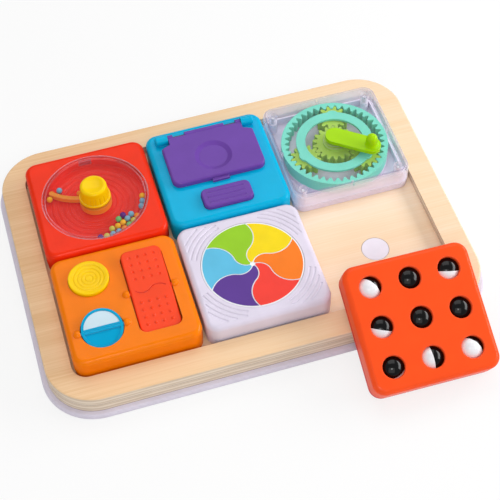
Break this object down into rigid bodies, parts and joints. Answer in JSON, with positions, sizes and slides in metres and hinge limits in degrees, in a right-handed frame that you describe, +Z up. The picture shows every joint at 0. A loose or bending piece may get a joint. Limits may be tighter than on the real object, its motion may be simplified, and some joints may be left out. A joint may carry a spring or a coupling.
{
  "type": "activity board",
  "caption": "Low plywood tray on a moulded base with square lift-out play tiles: bead mixer, lidded box, planetary gears, switches, spinning wheel and rolling balls.",
  "frame": {"origin": "centre of the underside of the base, on the surface that the board lies on", "axes": "+X to the right along the long side, +Y to the back, +Z up, as a child sits in front of it"},
  "size_m": [0.321, 0.2815, 0.0522],
  "materials": {
    "base_plastic": "moulded, with a soft sheen",
    "plywood": "clear satin lacquer",
    "steel": "plain",
    "red_plastic": "moulded, with a soft sheen",
    "clear_plastic": "clear, polished",
    "yellow_plastic": "moulded, with a soft sheen",
    "amber_plastic": "moulded, with a soft sheen",
    "bead_plastic": "polished, in mixed colours",
    "blue_plastic": "moulded, with a soft sheen",
    "purple_plastic": "moulded, with a soft sheen",
    "white_plastic": "moulded, with a soft sheen",
    "mint_plastic": "moulded, matt",
    "green_plastic": "moulded, matt",
    "lime_plastic": "moulded, with a soft sheen",
    "orange_plastic": "moulded, with a soft sheen",
    "cyan_plastic": "moulded, with a soft sheen",
    "coral_plastic": "moulded, with a soft sheen",
    "wheel_plastic": "printed with coloured segments",
    "scarlet_plastic": "moulded, with a soft sheen",
    "ball_plastic": "polished, half dark and half pale"
  },
  "bodies": {
    "base": {"base_tray": "base_plastic", "floor_panel": "plywood", "frame_panel": "plywood", "base_screws": "steel"},
    "bead_tile": {"bead_shell": "red_plastic", "bead_pan": "red_plastic", "bead_screws": "steel", "bead_window": "clear_plastic"},
    "bead_mixer": {"bead_knob": "yellow_plastic", "bead_sweeper": "amber_plastic", "beads": "bead_plastic"},
    "lid_tile": {"lid_shell": "blue_plastic", "lid_pan": "blue_plastic", "lid_screws": "steel", "lid_hinge_pin": "steel", "release_spring": "steel"},
    "lid": {"lid": "purple_plastic"},
    "release_button": {"release_button": "purple_plastic"},
    "gear_tile": {"gear_cover": "clear_plastic", "gear_pan": "white_plastic", "gear_screws": "steel", "ring_gear": "mint_plastic"},
    "crank": {"crank_handle": "lime_plastic", "sun_gear": "green_plastic"},
    "planet_carrier": {"planet_carrier": "mint_plastic"},
    "planet_gear_1": {"planet_gear_1": "green_plastic"},
    "planet_gear_2": {"planet_gear_2": "green_plastic"},
    "planet_gear_3": {"planet_gear_3": "green_plastic"},
    "switch_tile": {"switch_shell": "orange_plastic", "switch_pan": "orange_plastic", "switch_screws": "steel", "dome_spring": "steel"},
    "dome_button": {"dome_button": "yellow_plastic"},
    "flip_disc": {"flip_disc": "cyan_plastic", "flip_insert": "white_plastic"},
    "rocker": {"rocker": "coral_plastic"},
    "wheel_tile": {"wheel_shell": "white_plastic", "wheel_pan": "white_plastic", "wheel_screws": "steel"},
    "pinwheel": {"pinwheel": "wheel_plastic", "wheel_clip": "steel"},
    "ball_tile": {"ball_plate": "scarlet_plastic", "ball_tray": "scarlet_plastic", "ball_screws": "steel"},
    "push_button_1": {"push_button_1": "white_plastic"},
    "push_button_2": {"push_button_2": "white_plastic"},
    "push_button_3": {"push_button_3": "white_plastic"},
    "push_button_4": {"push_button_4": "white_plastic"},
    "push_button_5": {"push_button_5": "white_plastic"},
    "push_button_6": {"push_button_6": "white_plastic"},
    "ball_1": {"ball_1": "ball_plastic"},
    "ball_2": {"ball_2": "ball_plastic"},
    "ball_3": {"ball_3": "ball_plastic"},
    "ball_4": {"ball_4": "ball_plastic"},
    "ball_5": {"ball_5": "ball_plastic"},
    "ball_6": {"ball_6": "ball_plastic"},
    "ball_7": {"ball_7": "ball_plastic"},
    "ball_8": {"ball_8": "ball_plastic"},
    "ball_9": {"ball_9": "ball_plastic"}
  },
  "joints": [
    {"name": "push_button_1_lift", "type": "slide", "parent": "base", "child": "push_button_1", "axis": [0, 0, 1], "range_m": [0, 0.0035]},
    {"name": "push_button_2_lift", "type": "slide", "parent": "base", "child": "push_button_2", "axis": [0, 0, 1], "range_m": [0, 0.0035]},
    {"name": "push_button_3_lift", "type": "slide", "parent": "base", "child": "push_button_3", "axis": [0, 0, 1], "range_m": [0, 0.0035]},
    {"name": "push_button_4_lift", "type": "slide", "parent": "base", "child": "push_button_4", "axis": [0, 0, 1], "range_m": [0, 0.0035]},
    {"name": "push_button_5_lift", "type": "slide", "parent": "base", "child": "push_button_5", "axis": [0, 0, 1], "range_m": [0, 0.0035]},
    {"name": "push_button_6_lift", "type": "slide", "parent": "base", "child": "push_button_6", "axis": [0, 0, 1], "range_m": [0, 0.0035]},
    {"name": "bead_tile_lift", "type": "slide", "parent": "push_button_1", "child": "bead_tile", "axis": [0, 0, 1], "range_m": [0, 0.04]},
    {"name": "lid_tile_lift", "type": "slide", "parent": "push_button_2", "child": "lid_tile", "axis": [0, 0, 1], "range_m": [0, 0.04]},
    {"name": "gear_tile_lift", "type": "slide", "parent": "push_button_3", "child": "gear_tile", "axis": [0, 0, 1], "range_m": [0, 0.04]},
    {"name": "switch_tile_lift", "type": "slide", "parent": "push_button_4", "child": "switch_tile", "axis": [0, 0, 1], "range_m": [0, 0.04]},
    {"name": "wheel_tile_lift", "type": "slide", "parent": "push_button_5", "child": "wheel_tile", "axis": [0, 0, 1], "range_m": [0, 0.04]},
    {"name": "ball_tile_lift", "type": "slide", "parent": "base", "child": "ball_tile", "axis": [0, 0, 1], "range_m": [0, 0.05]},
    {"name": "bead_knob_turn", "type": "hinge", "parent": "bead_tile", "child": "bead_mixer", "pos_m": [-0.092, 0.046, 0.03], "axis": [0, 0, 1], "continuous": true},
    {"name": "lid_hinge", "type": "hinge", "parent": "lid_tile", "child": "lid", "pos_m": [0, 0.0805, 0.0352], "axis": [-1, 0, 0], "range_deg": [0, 105]},
    {"name": "release_press", "type": "slide", "parent": "lid_tile", "child": "release_button", "axis": [0, 0, -1], "range_m": [0, 0.0022], "stiffness_N_per_m": 400, "springref_m": -0.001, "deforming": ["release_spring"]},
    {"name": "crank_turn", "type": "hinge", "parent": "gear_tile", "child": "crank", "pos_m": [0.092, 0.046, 0.03], "axis": [0, 0, 1], "continuous": true},
    {"name": "carrier_turn", "type": "hinge", "parent": "gear_tile", "child": "planet_carrier", "pos_m": [0.092, 0.046, 0.026], "axis": [0, 0, 1], "continuous": true},
    {"name": "planet_gear_1_turn", "type": "hinge", "parent": "planet_carrier", "child": "planet_gear_1", "pos_m": [0.0986, 0.07063, 0.022], "axis": [0, 0, 1], "continuous": true},
    {"name": "planet_gear_2_turn", "type": "hinge", "parent": "planet_carrier", "child": "planet_gear_2", "pos_m": [0.06737, 0.0394, 0.022], "axis": [0, 0, 1], "continuous": true},
    {"name": "planet_gear_3_turn", "type": "hinge", "parent": "planet_carrier", "child": "planet_gear_3", "pos_m": [0.11003, 0.02797, 0.022], "axis": [0, 0, 1], "continuous": true},
    {"name": "dome_press", "type": "slide", "parent": "switch_tile", "child": "dome_button", "axis": [0, 0, -1], "range_m": [0, 0.003], "stiffness_N_per_m": 400, "springref_m": -0.001, "deforming": ["dome_spring"]},
    {"name": "flip_disc_tilt", "type": "hinge", "parent": "switch_tile", "child": "flip_disc", "pos_m": [-0.1124, -0.0668, 0.0312], "axis": [-1, 0, 0], "range_deg": [0, 28]},
    {"name": "rocker_tilt", "type": "hinge", "parent": "switch_tile", "child": "rocker", "pos_m": [-0.0732, -0.0451, 0.0312], "axis": [-1, 0, 0], "range_deg": [0, 12]},
    {"name": "pinwheel_spin", "type": "hinge", "parent": "wheel_tile", "child": "pinwheel", "pos_m": [0, -0.046, 0.028], "axis": [0, 0, 1], "continuous": true},
    {"name": "ball_1_roll", "type": "hinge", "parent": "ball_tile", "child": "ball_1", "pos_m": [0.06737, -0.09532, 0.03934], "axis": [0.9998, -0.0175, 0], "continuous": true},
    {"name": "ball_2_roll", "type": "hinge", "parent": "ball_tile", "child": "ball_2", "pos_m": [0.09537, -0.09581, 0.03934], "axis": [0.9998, -0.0175, 0], "continuous": true},
    {"name": "ball_3_roll", "type": "hinge", "parent": "ball_tile", "child": "ball_3", "pos_m": [0.12337, -0.0963, 0.03934], "axis": [0.9998, -0.0175, 0], "continuous": true},
    {"name": "ball_4_roll", "type": "hinge", "parent": "ball_tile", "child": "ball_4", "pos_m": [0.06692, -0.12117, 0.02858], "axis": [0.9998, -0.0175, 0], "continuous": true},
    {"name": "ball_5_roll", "type": "hinge", "parent": "ball_tile", "child": "ball_5", "pos_m": [0.09492, -0.12166, 0.02858], "axis": [0.9998, -0.0175, 0], "continuous": true},
    {"name": "ball_6_roll", "type": "hinge", "parent": "ball_tile", "child": "ball_6", "pos_m": [0.12291, -0.12215, 0.02858], "axis": [0.9998, -0.0175, 0], "continuous": true},
    {"name": "ball_7_roll", "type": "hinge", "parent": "ball_tile", "child": "ball_7", "pos_m": [0.06647, -0.14702, 0.01782], "axis": [0.9998, -0.0175, 0], "continuous": true},
    {"name": "ball_8_roll", "type": "hinge", "parent": "ball_tile", "child": "ball_8", "pos_m": [0.09447, -0.1475, 0.01782], "axis": [0.9998, -0.0175, 0], "continuous": true},
    {"name": "ball_9_roll", "type": "hinge", "parent": "ball_tile", "child": "ball_9", "pos_m": [0.12246, -0.14799, 0.01782], "axis": [0.9998, -0.0175, 0], "continuous": true}
  ],
  "couplings": [
    {"joint": "carrier_turn", "follows": "crank_turn", "ratio": 0.3},
    {"joint": "planet_gear_1_turn", "follows": "crank_turn", "ratio": -1.05},
    {"joint": "planet_gear_2_turn", "follows": "crank_turn", "ratio": -1.05},
    {"joint": "planet_gear_3_turn", "follows": "crank_turn", "ratio": -1.05}
  ]
}
